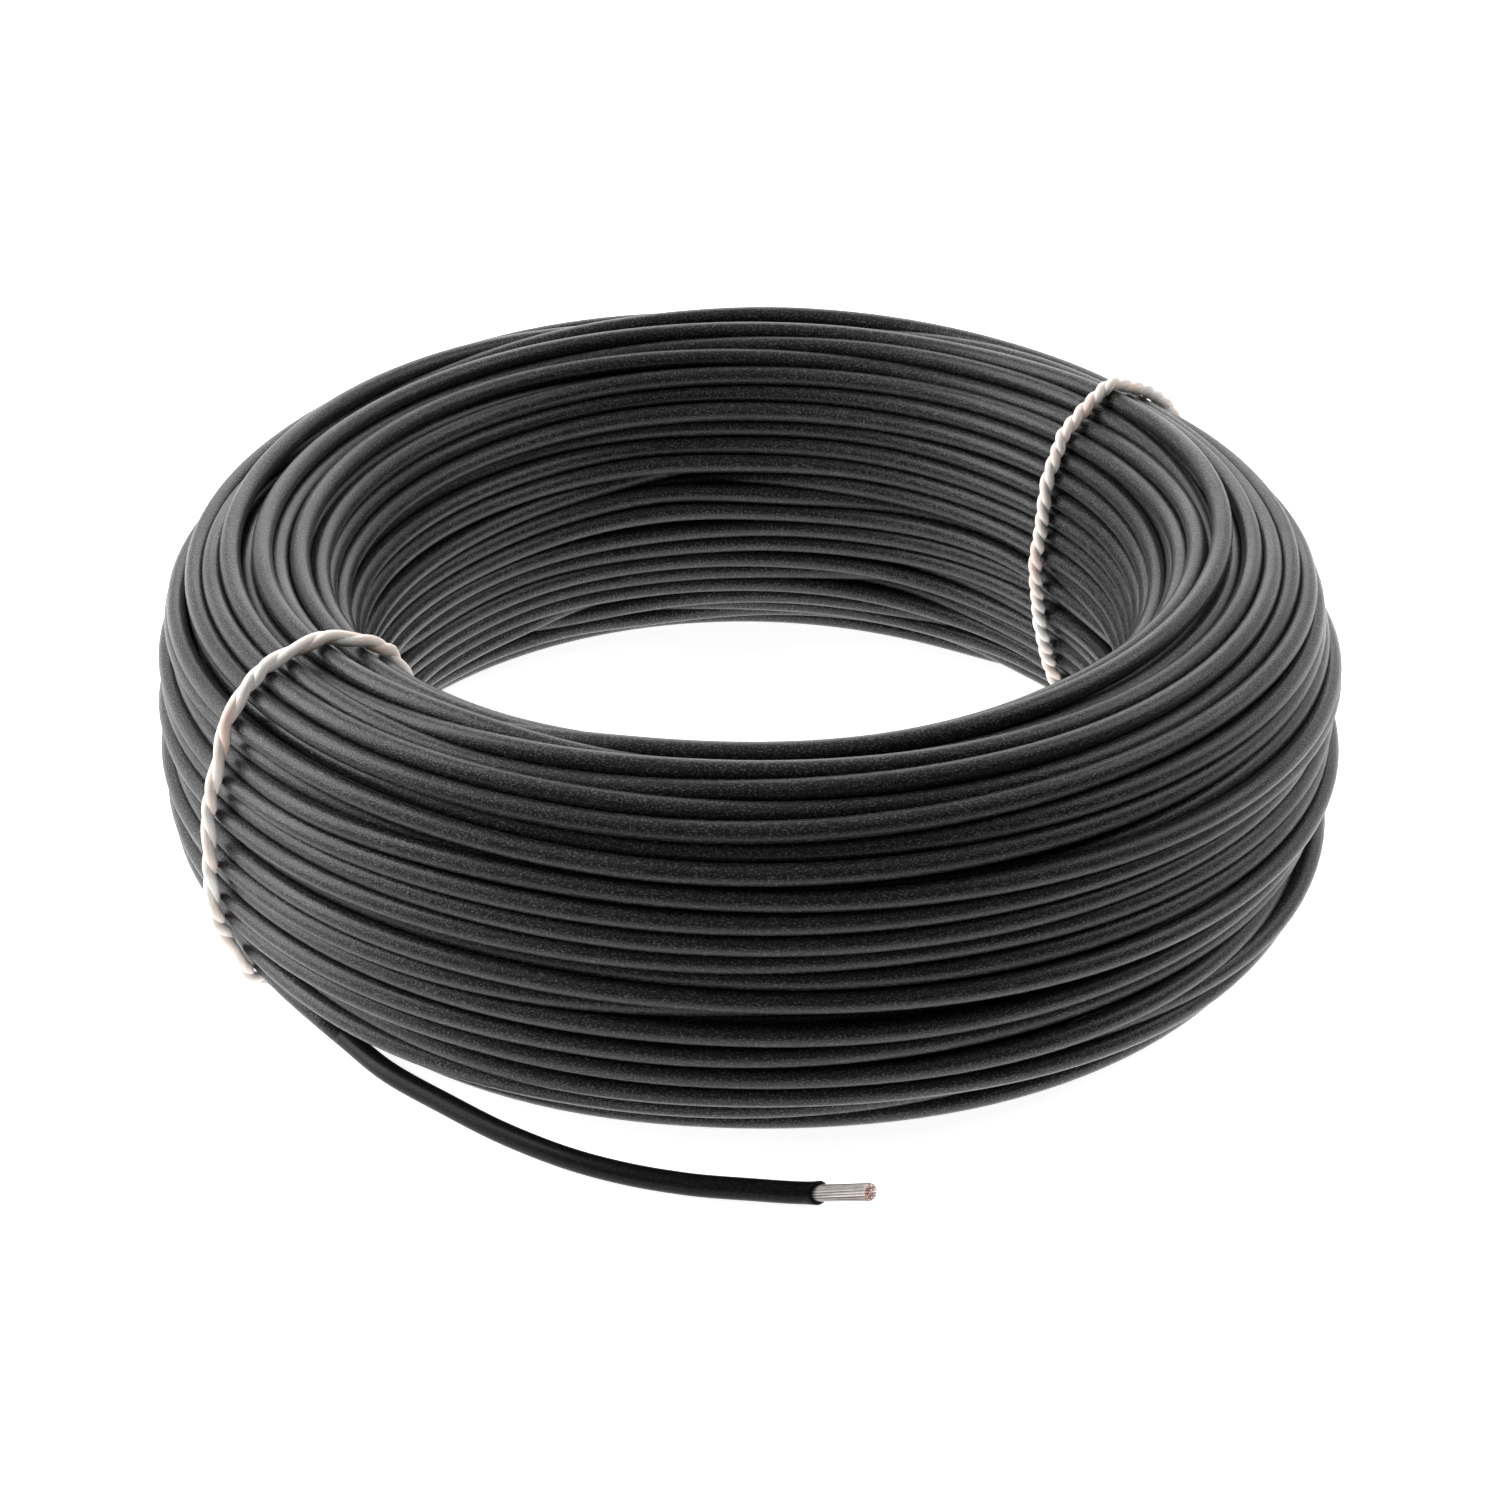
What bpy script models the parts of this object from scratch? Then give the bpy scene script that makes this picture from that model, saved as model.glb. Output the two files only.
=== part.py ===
"""Coil of single-core electrical wire with its loose end, held by two twine ties.

The coil lies flat on the floor: its axis is +Z through the origin and the floor is z = 0.
All sizes are metres, and angles are degrees from +X towards +Y.
"""
import math

import bmesh
import bpy
from mathutils import Matrix, Vector

# Wire and winding
WIRE_DIAMETER = 0.0047
COIL_OUTER_RADIUS = 0.136
COIL_BORE_RADIUS = 0.088
COIL_HEIGHT = 0.087
TURN_GROOVE = 0.0013
FLOOR_PRESS = 0.0008
RING_STEPS = 40
CREASE_ANGLE = math.radians(20.0)

# How square each corner of the winding's section is: 2 is an ellipse, more is squarer
OUTER_TOP_CORNER = 2.7
OUTER_BOTTOM_CORNER = 2.4
BORE_TOP_CORNER = 2.5
BORE_BOTTOM_CORNER = 1.8

# Twine ties: angle of each at the coil's top, and how far it leans over down to the floor
TWINE_DIAMETER = 0.0034
TWINE_SEAT = 0.0003
TIE_ANGLES = {"tie_left": -144.6, "tie_right": 34.0}
TIE_LEANS = {"tie_left": -5.0, "tie_right": -3.5}
TIE_POINTS = 36

# Loose end, as angle round the coil and distance of its middle outside the coil's outer radius
TAIL_ROUTE = (
    (-136.0, -0.0128),
    (-128.0, -0.0100),
    (-120.0, -0.0076),
    (-112.0, -0.0035),
    (-104.0, 0.0007),
    (-96.0, 0.0037),
    (-90.0, 0.0053),
    (-84.0, 0.0074),
)
TAIL_POINT_SPACING = 2.5

# Stripped conductor: a bundle of strands that spreads a little towards its cut end
BARE_LENGTH = 0.0124
BUNDLE_DIAMETER = 0.0031
BUNDLE_SPREAD = 0.0006
BUNDLE_FLUTES = 12
FLUTE_DEPTH = 0.00022

# Clearance between neighbouring pieces
GAP = 0.0003

MATERIALS = {
    "black_insulation": ((0.018, 0.018, 0.019), 0.55, 0.0),
    "loose_end_insulation": ((0.022, 0.022, 0.023), 0.55, 0.0),
    "twine": ((0.72, 0.62, 0.57), 0.9, 0.0),
    "tinned_strands": ((0.62, 0.55, 0.52), 0.35, 1.0),
}


def clear_scene():
    for thing in list(bpy.data.objects):
        bpy.data.objects.remove(thing, do_unlink=True)


def material(name):
    """The named material, made once and shared by the pieces that use it."""
    if name in bpy.data.materials:
        return bpy.data.materials[name]
    colour, roughness, metallic = MATERIALS[name]
    made = bpy.data.materials.new(name)
    made.use_nodes = True
    shader = made.node_tree.nodes["Principled BSDF"]
    shader.inputs["Base Color"].default_value = (*colour, 1.0)
    shader.inputs["Roughness"].default_value = roughness
    shader.inputs["Metallic"].default_value = metallic
    return made


def add_object(name, data, material_name=None):
    made = bpy.data.objects.new(name, data)
    bpy.context.collection.objects.link(made)
    if material_name:
        data.materials.append(material(material_name))
    return made


def as_cutter(cutter):
    cutter.hide_render = True
    cutter.display_type = "WIRE"
    return cutter


def cut(target, cutter):
    boolean = target.modifiers.new(f"cut_{cutter.name}", "BOOLEAN")
    boolean.operation = "DIFFERENCE"
    boolean.solver = "EXACT"
    boolean.object = as_cutter(cutter)


# Section of the winding
def outline_point(turn):
    """Point (radius, height) on the outline round the winding, at turn 0 to 1 of the way."""
    angle = -2.0 * math.pi * turn
    across, along = math.cos(angle), math.sin(angle)
    if across >= 0.0:
        corner = OUTER_TOP_CORNER if along >= 0.0 else OUTER_BOTTOM_CORNER
    else:
        corner = BORE_TOP_CORNER if along >= 0.0 else BORE_BOTTOM_CORNER
    half_width = (COIL_OUTER_RADIUS - COIL_BORE_RADIUS) / 2.0
    middle = COIL_BORE_RADIUS + half_width
    half_height = (COIL_HEIGHT + FLOOR_PRESS) / 2.0
    power = 2.0 / corner
    radius = middle + half_width * math.copysign(abs(across) ** power, across)
    height = half_height * math.copysign(abs(along) ** power, along)
    return Vector((radius, height + half_height - FLOOR_PRESS))


def even_outline(count, samples=2880):
    """The outline as count points, evenly spaced along it, each with its outward normal."""
    fine = [outline_point(i / samples) for i in range(samples + 1)]
    reached = [0.0]
    for before, after in zip(fine, fine[1:]):
        reached.append(reached[-1] + (after - before).length)
    points = []
    step = 0
    for i in range(count):
        wanted = reached[-1] * i / count
        while reached[step + 1] < wanted:
            step += 1
        share = (wanted - reached[step]) / (reached[step + 1] - reached[step])
        along = fine[step + 1] - fine[step]
        normal = Vector((-along.y, along.x)).normalized()
        points.append((fine[step] + along * share, normal))
    return points, reached[-1]


def cut_at_floor(points):
    """The closed outline without what lies under the floor."""
    kept = []
    for before, after in zip(points, points[1:] + points[:1]):
        if before.y >= 0.0:
            kept.append(before)
        if (before.y >= 0.0) != (after.y >= 0.0):
            share = before.y / (before.y - after.y)
            kept.append(Vector((before.x + (after.x - before.x) * share, 0.0)))
    return kept


def winding_profile():
    """Outline of the winding with one rounded ridge for each turn that shows."""
    length = even_outline(4)[1]
    turns = round(length / WIRE_DIAMETER)
    profile = []
    for i, (point, normal) in enumerate(even_outline(2 * turns)[0]):
        profile.append(point if i % 2 == 0 else point - normal * TURN_GROOVE)
    return cut_at_floor(profile)


def add_wire_coil():
    """The winding as one turned ring, with a crease between each turn and the next."""
    shape = bmesh.new()
    verts = [shape.verts.new((point.x, 0.0, point.y)) for point in winding_profile()]
    edges = [shape.edges.new((before, after)) for before, after in zip(verts, verts[1:] + verts[:1])]
    bmesh.ops.spin(
        shape,
        geom=verts + edges,
        axis=(0.0, 0.0, 1.0),
        cent=(0.0, 0.0, 0.0),
        steps=RING_STEPS,
        angle=2.0 * math.pi,
        use_merge=True,
    )
    bmesh.ops.recalc_face_normals(shape, faces=shape.faces)
    for face in shape.faces:
        face.smooth = True
    for edge in shape.edges:
        edge.smooth = edge.calc_face_angle_signed() > -CREASE_ANGLE
    mesh = bpy.data.meshes.new("wire_coil")
    shape.to_mesh(mesh)
    shape.free()
    return add_object("wire_coil", mesh, "black_insulation")


# Tubes along a line
def tube_curve(name, points, radius, sides_detail, closed=False):
    curve = bpy.data.curves.new(name, "CURVE")
    curve.dimensions = "3D"
    curve.bevel_depth = radius
    curve.bevel_resolution = sides_detail
    curve.use_fill_caps = True
    spline = curve.splines.new("POLY")
    spline.points.add(len(points) - 1)
    for place, point in zip(spline.points, points):
        place.co = (*point, 1.0)
    spline.use_cyclic_u = closed
    spline.use_smooth = True
    return curve


def tube_cutter(name, points, radius, sides_detail, closed=False):
    """The same tube as a mesh, because a Boolean cuts with meshes only."""
    draft = add_object(f"{name}_draft", tube_curve(name, points, radius, sides_detail, closed))
    bpy.context.view_layer.update()
    evaluated = draft.evaluated_get(bpy.context.evaluated_depsgraph_get())
    mesh = bpy.data.meshes.new_from_object(evaluated)
    bpy.data.objects.remove(draft, do_unlink=True)
    return add_object(name, mesh)


# Twine ties
def tie_line(name):
    """Closed line of a tie's middle: round the winding's section, and never under the floor."""
    line = []
    for point, normal in even_outline(TIE_POINTS)[0]:
        seated = point - normal * TWINE_SEAT
        height = max(seated.y, TWINE_DIAMETER / 2.0)
        lean = TIE_LEANS[name] * (1.0 - height / COIL_HEIGHT)
        angle = math.radians(TIE_ANGLES[name] + lean)
        line.append(Vector((seated.x * math.cos(angle), seated.x * math.sin(angle), height)))
    return line


def add_tie(name, coil):
    line = tie_line(name)
    add_object(name, tube_curve(name, line, TWINE_DIAMETER / 2.0, 2, closed=True), "twine")
    groove_radius = TWINE_DIAMETER / 2.0 + GAP
    cut(coil, tube_cutter(f"{name}_groove", line, groove_radius, 2, closed=True))


# Loose end
def smooth_between(a, b, c, d, share):
    """Value between b and c on the smooth curve through four neighbouring values."""
    return b + 0.5 * share * (
        c - a + share * (2.0 * a - 5.0 * b + 4.0 * c - d + share * (3.0 * (b - c) + d - a))
    )


def tail_line():
    """Middle line of the loose end along the floor, from the coil to its stripped end."""
    knots = (TAIL_ROUTE[0], *TAIL_ROUTE, TAIL_ROUTE[-1])
    fine = []
    for a, b, c, d in zip(knots, knots[1:], knots[2:], knots[3:]):
        for share in (0.0, 0.25, 0.5, 0.75):
            angle = math.radians(b[0] + (c[0] - b[0]) * share)
            outside = smooth_between(a[1], b[1], c[1], d[1], share)
            fine.append(floor_point(angle, outside))
    fine.append(floor_point(math.radians(TAIL_ROUTE[-1][0]), TAIL_ROUTE[-1][1]))
    length = sum((after - before).length for before, after in zip(fine, fine[1:]))
    count = max(2, round(length / (TAIL_POINT_SPACING * WIRE_DIAMETER)))
    return [point_along(fine, length * i / count) for i in range(count + 1)]


def floor_point(angle, outside):
    radius = COIL_OUTER_RADIUS + outside
    return Vector((radius * math.cos(angle), radius * math.sin(angle), WIRE_DIAMETER / 2.0))


def point_along(line, distance):
    for before, after in zip(line, line[1:]):
        step = (after - before).length
        if distance <= step:
            return before.lerp(after, distance / step)
        distance -= step
    return line[-1]


def add_wire_tail(coil):
    line = tail_line()
    radius = WIRE_DIAMETER / 2.0
    add_object("wire_tail", tube_curve("wire_tail", line, radius, 4), "loose_end_insulation")
    backwards = (line[0] - line[1]).normalized()
    channel = [line[0] + backwards * GAP, *line[1:]]
    cut(coil, tube_cutter("tail_channel", channel, radius + GAP, 4))
    return line


def add_conductor(line):
    """Fluted rod in the outline of the strands, straight on from the insulation's end."""
    forwards = (line[-1] - line[-2]).normalized()
    start = line[-1] + forwards * GAP
    shape = bmesh.new()
    rings = []
    sides = 2 * BUNDLE_FLUTES
    for share in (0.0, 0.5, 1.0):
        outer = (BUNDLE_DIAMETER + BUNDLE_SPREAD * share * share) / 2.0
        ring = []
        for i in range(sides):
            radius = outer if i % 2 == 0 else outer - FLUTE_DEPTH
            angle = 2.0 * math.pi * i / sides
            spot = (radius * math.cos(angle), radius * math.sin(angle), BARE_LENGTH * share)
            ring.append(shape.verts.new(spot))
        rings.append(ring)
    for lower, upper in zip(rings, rings[1:]):
        for i in range(sides):
            j = (i + 1) % sides
            shape.faces.new((lower[i], lower[j], upper[j], upper[i]))
    shape.faces.new(rings[0][::-1])
    shape.faces.new(rings[-1])
    turn = forwards.to_track_quat("Z", "Y").to_matrix().to_4x4()
    bmesh.ops.transform(shape, matrix=Matrix.Translation(start) @ turn, verts=shape.verts)
    mesh = bpy.data.meshes.new("conductor")
    shape.to_mesh(mesh)
    shape.free()
    add_object("conductor", mesh, "tinned_strands")


def main():
    clear_scene()
    coil = add_wire_coil()
    for name in TIE_ANGLES:
        add_tie(name, coil)
    add_conductor(add_wire_tail(coil))


main()
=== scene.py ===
"""Looks of a coil of black electrical wire, held by two twine ties, with its loose end stripped.

The winding is one length of wire, laid turn by turn and settled against its neighbours. The frame is
the CAD model: its coil axis is +Z, the floor is z = 0 and the stripped end lies on the -Y side.
"""

import functools
import math

import bpy
import numpy as np
from mathutils import Matrix, Vector


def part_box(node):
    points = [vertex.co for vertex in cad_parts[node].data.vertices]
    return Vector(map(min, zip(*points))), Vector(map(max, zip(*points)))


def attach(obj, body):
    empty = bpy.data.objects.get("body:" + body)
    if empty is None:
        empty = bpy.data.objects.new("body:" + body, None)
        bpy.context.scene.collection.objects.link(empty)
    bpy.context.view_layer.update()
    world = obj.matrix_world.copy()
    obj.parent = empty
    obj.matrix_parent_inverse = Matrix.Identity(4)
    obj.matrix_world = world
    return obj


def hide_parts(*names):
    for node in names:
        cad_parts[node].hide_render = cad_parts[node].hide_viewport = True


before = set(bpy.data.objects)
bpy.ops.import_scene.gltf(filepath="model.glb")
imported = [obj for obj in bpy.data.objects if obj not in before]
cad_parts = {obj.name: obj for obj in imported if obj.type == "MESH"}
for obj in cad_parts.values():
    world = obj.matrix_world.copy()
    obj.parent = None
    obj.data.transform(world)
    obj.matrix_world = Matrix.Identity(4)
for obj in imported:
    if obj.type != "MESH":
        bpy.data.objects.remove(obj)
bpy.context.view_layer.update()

bl_info = {
    "name": "Wire coil",
    "version": (1, 0, 0),
    "blender": (4, 5, 0),
    "location": "3D View > Sidebar > Wire coil",
    "description": "Winds a coil of electrical wire, strips its end, ties it and lights it",
    "category": "Add Mesh",
}

SEED = 7

# Coil in the CAD frame, in metres
COIL_LOW, COIL_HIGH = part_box("wire_coil")
COIL_RADIUS = (COIL_HIGH.x - COIL_LOW.x) / 2.0
COIL_HEIGHT = COIL_HIGH.z
BORE_RADIUS = 0.088

# Section of the winding: how square each corner is, 2 being an ellipse, then its half size and middle
OUTER_TOP_CORNER = 2.7
OUTER_BOTTOM_CORNER = 2.4
BORE_TOP_CORNER = 2.5
BORE_BOTTOM_CORNER = 1.8
SECTION_HALF = np.array([(COIL_RADIUS - BORE_RADIUS) / 2.0, COIL_HEIGHT / 2.0])
SECTION_MIDDLE = np.array([(COIL_RADIUS + BORE_RADIUS) / 2.0, COIL_HEIGHT / 2.0])

# Points round a section, for its outline and for the outline that a tie is drawn to
OUTLINE_POINTS = 1441

# Layers of turns: the angle round the section where each begins, and how many lie under the surface
FIRST_SLOT = math.radians(-63.0)
INNER_LAYERS = 4

# Pitch from layer to layer, and of the surface turns at the bore and outside, in wire diameters
LAYER_PITCH = 1.04
BORE_PITCH = 0.66
OUTER_PITCH = 0.95

# Share of the surface turns that make up the outer side
OUTER_SIDE_SHARE = 0.4

# Settling of the turns: all passes, those that also hold turns to their places, the passes between
# two searches for close pairs, how often a pass eases and pushes, and the easing after the last
SETTLE_PASSES = 240
HELD_PASSES = 225
PASSES_BETWEEN_PAIRS = 12
EASES = 5
PUSHES = 2
LAST_EASES = 4

# Hold on a turn's place, more hold where it strays, its room as a share of the section, and how close
# in wire diameters a pair is to be found
HOLD = 0.03
STRAY_HOLD = 0.2
ROOM = 1.015
PAIR_REACH = 1.7

# Unevenness: the length of the wander in steps, and the number of small strays
WANDER_STEPS = 16
SMALL_STRAYS = 70

# Places where a turn strays: the turn counted back from the last, the angle round the coil and half
# the stray's length in degrees, then its rise and its slide along the section, in wire diameters
STRAYS = (
    (18, 160.0, 20.0, -0.1, 0.1),
    (19, 160.0, 19.0, -0.1, 0.3),
    (20, 160.0, 17.0, 0.0, 0.45),
    (21, 160.0, 17.0, 0.0, -0.55),
    (22, -40.0, 22.0, 0.45, -0.8),
    (22, -6.0, 26.0, 0.35, 0.0),
    (22, 22.0, 20.0, 0.5, 1.0),
    (24, -12.0, 28.0, 0.2, 0.8),
    (25, -12.0, 28.0, 0.4, 0.5),
    (37, 103.0, 13.0, 0.5, 0.8),
    (38, 106.0, 13.0, 0.2, 0.8),
    (40, 110.0, 14.0, 0.0, 0.7),
    (37, 130.0, 14.0, 0.2, -0.8),
    (38, 132.0, 14.0, 0.0, -0.8),
    (38, 48.0, 12.0, -0.3, -0.5),
    (37, 50.0, 12.0, 0.0, 0.5),
    (19, -90.0, 30.0, 0.1, 0.3),
    (18, -92.0, 26.0, -0.4, 0.3),
    (14, -88.0, 34.0, -1.5, 0.3),
    (9, -90.0, 28.0, -0.35, 0.0),
    (7, -80.0, 34.0, -1.5, 0.1),
    (4, -84.0, 32.0, -0.2, 0.6),
)

# Loose end, as angle round the coil in degrees and distance outside the coil's outer radius
TAIL_ROUTE = (
    (-136.0, -0.0128),
    (-128.0, -0.0100),
    (-120.0, -0.0076),
    (-112.0, -0.0035),
    (-104.0, 0.0007),
    (-96.0, 0.0037),
    (-90.0, 0.0053),
    (-84.0, 0.0074),
)
TAIL_ANGLE = math.radians(TAIL_ROUTE[0][0])
TAIL_SPACING = 0.0016

# Side of the wire where its cuts stand furthest back, along Y and Z
CUT_BACK_SIDE = (-0.875, 0.485)

# Mouth of the insulation: its slant, how far it stands back, its depth and its flare
MOUTH_SLANT = math.radians(41.0)
MOUTH_BACK = 0.0007
MOUTH_DEPTH = 0.005
FLARE = 0.06
FLARE_LENGTH = 0.0016

# Points that carry the wire on past its mouth until it is cut
PAST_MOUTH = (0.0017, 0.0032, 0.0048)

# Cut of the strands: its slant and how far it stands back
STRAND_SLANT = math.radians(38.0)
STRAND_BACK = 0.0026

# Bundle of strands: one in the middle and three rings, its start and end in bare lengths, its twist in
# radians and its widening over the bare length, and the reach of its inside, in spacings, that gets
# painted shade
STRAND_RINGS = (1, 6, 12, 18)
STRAND_SPACING = 0.00052
STRAND_RADIUS = STRAND_SPACING * 0.47
STRAND_REACH = (-0.3, 1.16)
STRAND_TWIST = 0.25
STRAND_WIDENING = 0.12
SHADED_INNER_BUNDLE = 2.45

# Ties: angle at the coil's top and lean down to the floor in degrees, the length of the twist as a
# share of the lay, then the size of a ply and its distance from the middle, in twine diameters
TIES = {
    "tie_left": (-144.6, -5.0, 1.0, 0.375, 0.14),
    "tie_right": (34.0, -3.5, 0.53, 0.345, 0.18),
}
TWINE_SPACING = 0.0007

# Twine under the coil: its pressed height in twine diameters, and how many degrees to each side of it
# the wires are lifted
TWINE_PRESSED = 0.75
TIE_LIFT_ANGLE = 7.0

# Camera
CAMERA_ELEVATION = math.radians(28.97)
CAMERA_ROLL = math.radians(0.36)
CAMERA_DISTANCE = 0.794
CAMERA_LENS = 81.05
CAMERA_SHIFT = (0.0031, -0.0477)

# Soft lamps, with their place, size and power in watts, and the floor that they light
LAMPS = (
    ("soft_behind", (0.0, 1.5, 0.8), 1.4, 7.5),
    ("soft_left_high", (-1.1, 0.1, 1.1), 1.0, 17.5),
    ("soft_left_low", (-1.5, 0.0, 0.45), 1.0, 17.0),
    ("soft_right_high", (1.1, 0.1, 1.1), 1.0, 9.8),
    ("soft_front", (0.0, -1.1, 1.5), 2.2, 3.0),
)
LAMP_AIM = Vector((0.0, 0.0, 0.05))
FLOOR_SIZE = 8.0
FLOOR_HEIGHT = -0.0004


class WireSettings(bpy.types.PropertyGroup):
    """Sizes and finish of the wire"""

    diameter: bpy.props.FloatProperty(
        name="Wire diameter", description="Over the insulation", default=0.0047, unit="LENGTH"
    )
    wall: bpy.props.FloatProperty(
        name="Wall", description="Thickness of the insulation", default=0.0006, unit="LENGTH"
    )
    bare: bpy.props.FloatProperty(
        name="Bare length", description="Strands past the insulation", default=0.0124, unit="LENGTH"
    )
    turns: bpy.props.IntProperty(
        name="Turns", description="Turns of wire in the coil", default=142, min=60
    )
    steps: bpy.props.IntProperty(
        name="Steps in a turn", description="Points along each turn", default=144, min=48
    )
    wander: bpy.props.FloatProperty(
        name="Wander",
        description="How far turns stray from an even winding, in wire diameters",
        default=0.3,
        subtype="FACTOR",
    )
    colour: bpy.props.FloatVectorProperty(
        name="Insulation", description="Colour of the insulation", size=3, subtype="COLOR",
        default=(0.0052, 0.0052, 0.0055),
    )
    strand_colour: bpy.props.FloatVectorProperty(
        name="Strands", description="Colour of the tinned strands", size=3, subtype="COLOR",
        default=(0.92, 0.85, 0.82),
    )
    cut_colour: bpy.props.FloatVectorProperty(
        name="Cut strand ends", description="Colour of the copper where it was cut", size=3,
        subtype="COLOR", default=(0.92, 0.56, 0.47),
    )


class TwineSettings(bpy.types.PropertyGroup):
    """Sizes and colours of the twine ties"""

    diameter: bpy.props.FloatProperty(
        name="Twine diameter", description="Across the twisted plies", default=0.0034, unit="LENGTH"
    )
    lay: bpy.props.FloatProperty(
        name="Lay", description="Length of one full twist", default=0.0152, unit="LENGTH"
    )
    pale: bpy.props.FloatVectorProperty(
        name="Pale ply", description="Colour of the palest ply", size=3, subtype="COLOR",
        default=(0.97, 0.94, 0.89),
    )
    grey: bpy.props.FloatVectorProperty(
        name="Grey ply", description="Colour of the greyest ply", size=3, subtype="COLOR",
        default=(0.93, 0.92, 0.89),
    )
    blush: bpy.props.FloatVectorProperty(
        name="Dye", description="Colour of the dye that tints the plies", size=3, subtype="COLOR",
        default=(0.96, 0.64, 0.54),
    )


# Winding
def corner_powers(across, along):
    """How square the section is towards each corner, for points round its middle."""
    outer = np.where(along >= 0.0, OUTER_TOP_CORNER, OUTER_BOTTOM_CORNER)
    inner = np.where(along >= 0.0, BORE_TOP_CORNER, BORE_BOTTOM_CORNER)
    return np.where(across >= 0.0, outer, inner)


def layer_line(depth):
    """Line round the section at that depth, from the lower outer corner in along the floor."""
    turn = FIRST_SLOT - np.linspace(0.0, 2.0 * math.pi, OUTLINE_POINTS)
    across, along = np.cos(turn), np.sin(turn)
    power = 2.0 / corner_powers(across, along)
    shape = np.stack([
        np.sign(across) * np.abs(across) ** power,
        np.sign(along) * np.abs(along) ** power,
    ], axis=1)
    line = SECTION_MIDDLE + (SECTION_HALF - depth) * shape
    return line, reached(line)


def surface_line(diameter):
    """Line round the surface, and how many turns are laid along it up to each point."""
    line, along = layer_line(0.5 * diameter)
    outward = (line[:, 0] - BORE_RADIUS) / (COIL_RADIUS - BORE_RADIUS)
    pitch = diameter * (BORE_PITCH + (OUTER_PITCH - BORE_PITCH) * outward)
    laid = np.cumsum(np.diff(along) * 2.0 / (pitch[1:] + pitch[:-1]))
    return line, np.concatenate([[0.0], laid])


def winding_layers(diameter, turns):
    """Lines of the layers from the surface in, and the number of turns on each."""
    depths = [diameter * (0.5 + LAYER_PITCH * layer) for layer in range(1, INNER_LAYERS + 1)]
    deeper = [layer_line(depth) for depth in depths]
    layers = [surface_line(diameter), *deeper]
    lengths = [along[-1] for line, along in deeper]
    surface = round(layers[0][1][-1])
    inner = turns + 1 - surface
    counts = [surface, *(round(inner * length / sum(lengths)) for length in lengths)]
    counts[1] += turns + 1 - sum(counts)
    return layers, counts


def spiral_slots(diameter, turns):
    """Places of the turns in the section, as a spiral from its core out to its surface."""
    layers, counts = winding_layers(diameter, turns)
    slots = []
    for (line, along), count in zip(layers[::-1], counts[::-1]):
        wanted = along[-1] * np.arange(count) / count
        slots.append(np.stack([np.interp(wanted, along, line[:, k]) for k in (0, 1)], axis=1))
    slots = np.concatenate(slots)
    # The last turn ends where the loose end begins
    slots[-1] = (COIL_RADIUS + TAIL_ROUTE[0][1], diameter / 2.0)
    return slots


def out_of_round(angle):
    """How far the outer side of the coil strays from a circle at that angle round it."""
    return COIL_RADIUS * (
        -0.0046 * np.cos(2.0 * angle) - 0.0192 * np.sin(2.0 * angle) - 0.0219 * np.sin(3.0 * angle)
    )


def slow_noise(rng, count, spread):
    """Smooth noise of unit size whose ups and downs are about spread steps long."""
    reach = int(4 * spread)
    kernel = np.exp(-0.5 * (np.arange(-reach, reach + 1) / spread) ** 2)
    noise = np.convolve(rng.standard_normal(count + 2 * reach), kernel, "valid")
    return noise / math.sqrt((kernel ** 2).sum())


def close_pairs(places, turns, steps, reach):
    """Pairs of points on one radial slice that lie closer than reach."""
    padded = np.full(((turns + 1) * steps, 2), 1.0)
    padded[: len(places)] = places
    slices = padded.reshape(turns + 1, steps, 2)
    first, second = np.triu_indices(turns + 1, 1)
    found = []
    for step in range(steps):
        apart = slices[first, step] - slices[second, step]
        near = (apart ** 2).sum(axis=1) < reach ** 2
        found.append(np.stack([first[near] * steps + step, second[near] * steps + step]))
    return np.concatenate(found, axis=1)


def smooth_between(a, b, c, d, share):
    """Values between b and c on the smooth curve through four neighbouring values."""
    return b + 0.5 * share * (
        c - a + share * (2.0 * a - 5.0 * b + 4.0 * c - d + share * (3.0 * (b - c) + d - a))
    )


def tail_route():
    """Fine run of the loose end as angle and distance outside the coil's outer radius."""
    knots = np.array((TAIL_ROUTE[0], *TAIL_ROUTE, TAIL_ROUTE[-1]))
    share = np.linspace(0.0, 1.0, 13)[:-1]
    runs = []
    for a, b, c, d in zip(knots, knots[1:], knots[2:], knots[3:]):
        out = smooth_between(a[1], b[1], c[1], d[1], share)
        runs.append(np.stack([b[0] + (c[0] - b[0]) * share, out], axis=1))
    route = np.concatenate([*runs, knots[-1:]])
    return np.radians(route[:, 0]), route[:, 1]


def tail_places(diameter, steps):
    """Places of the loose end at the winding's own steps round the coil."""
    angle, outside = tail_route()
    count = 1 + int((angle[-1] - angle[0]) / (2.0 * math.pi) * steps)
    at = angle[0] + 2.0 * math.pi * np.arange(count) / steps
    radius = COIL_RADIUS + np.interp(at, angle, outside)
    return np.stack([radius, np.full(count, diameter / 2.0)], axis=1)


def all_strays(rng):
    """The strays that show, and smaller ones all over the surface of the coil."""
    small = [
        (
            int(rng.integers(1, 54)),
            rng.uniform(-180.0, 180.0),
            rng.uniform(9.0, 30.0),
            rng.uniform(-0.5, 0.1),
            rng.uniform(-0.6, 0.6),
        )
        for _ in range(SMALL_STRAYS)
    ]
    return [*STRAYS, *small]


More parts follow.
